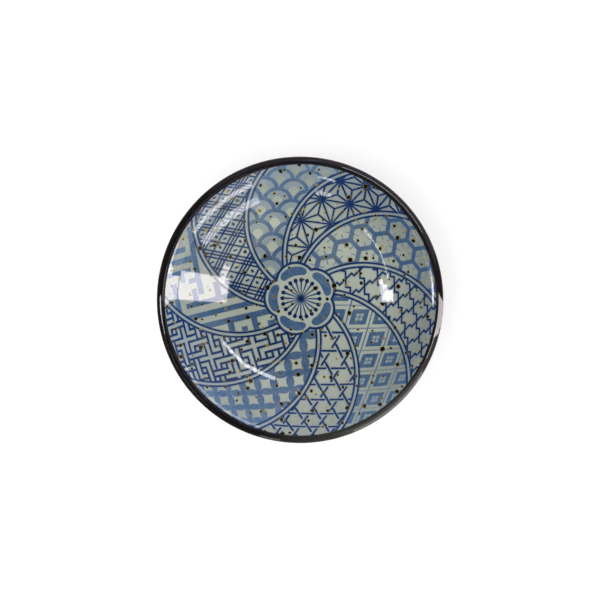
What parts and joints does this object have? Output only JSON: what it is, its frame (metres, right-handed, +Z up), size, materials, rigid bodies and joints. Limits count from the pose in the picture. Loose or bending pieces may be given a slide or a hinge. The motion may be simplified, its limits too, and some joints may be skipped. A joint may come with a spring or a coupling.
{
  "type": "soy sauce dish",
  "caption": "Small round footed stoneware dish for dipping sauce, with a dark glazed rim, twisted blue printed pattern fields inside and a blossom in the middle.",
  "frame": {"origin": "on the table plane, under the middle of the foot ring", "axes": "+Z up out of the bowl; +Y is the side that is at the top of the picture and +X the side at its right"},
  "size_m": [0.095, 0.095, 0.027],
  "materials": {
    "clay": "matte unglazed stoneware",
    "pale_glaze": "gloss, pale grey-green with iron specks",
    "dark_glaze": "gloss, brown-black iron glaze",
    "pale_print": "gloss, pale blue print under clear glaze",
    "dark_print": "gloss, dark blue line print under clear glaze",
    "ribbon_print": "gloss, dark blue print under clear glaze",
    "petal_print": "gloss, pale blue print under clear glaze"
  },
  "bodies": {
    "root": {"clay_body": "clay", "foot_ring": "clay", "inner_glaze": "pale_glaze", "outer_glaze": "dark_glaze", "base_glaze": "dark_glaze", "rim_glaze": "dark_glaze", "wave_field": "pale_print", "hemp_leaf_field": "dark_print", "hexagon_field": "pale_print", "pine_bark_field": "dark_print", "lozenge_field": "pale_print", "basket_field": "dark_print", "circle_field": "pale_print", "fret_field": "dark_print", "key_field": "pale_print", "check_field": "dark_print", "ribbon_1": "ribbon_print", "ribbon_2": "ribbon_print", "ribbon_3": "ribbon_print", "ribbon_4": "ribbon_print", "ribbon_5": "ribbon_print", "ribbon_6": "ribbon_print", "ribbon_7": "ribbon_print", "ribbon_8": "ribbon_print", "ribbon_9": "ribbon_print", "ribbon_10": "ribbon_print", "blossom_ground": "pale_glaze", "petal_1": "petal_print", "petal_2": "petal_print", "petal_3": "petal_print", "petal_4": "petal_print", "petal_5": "petal_print", "stamens": "ribbon_print"}
  },
  "joints": []
}
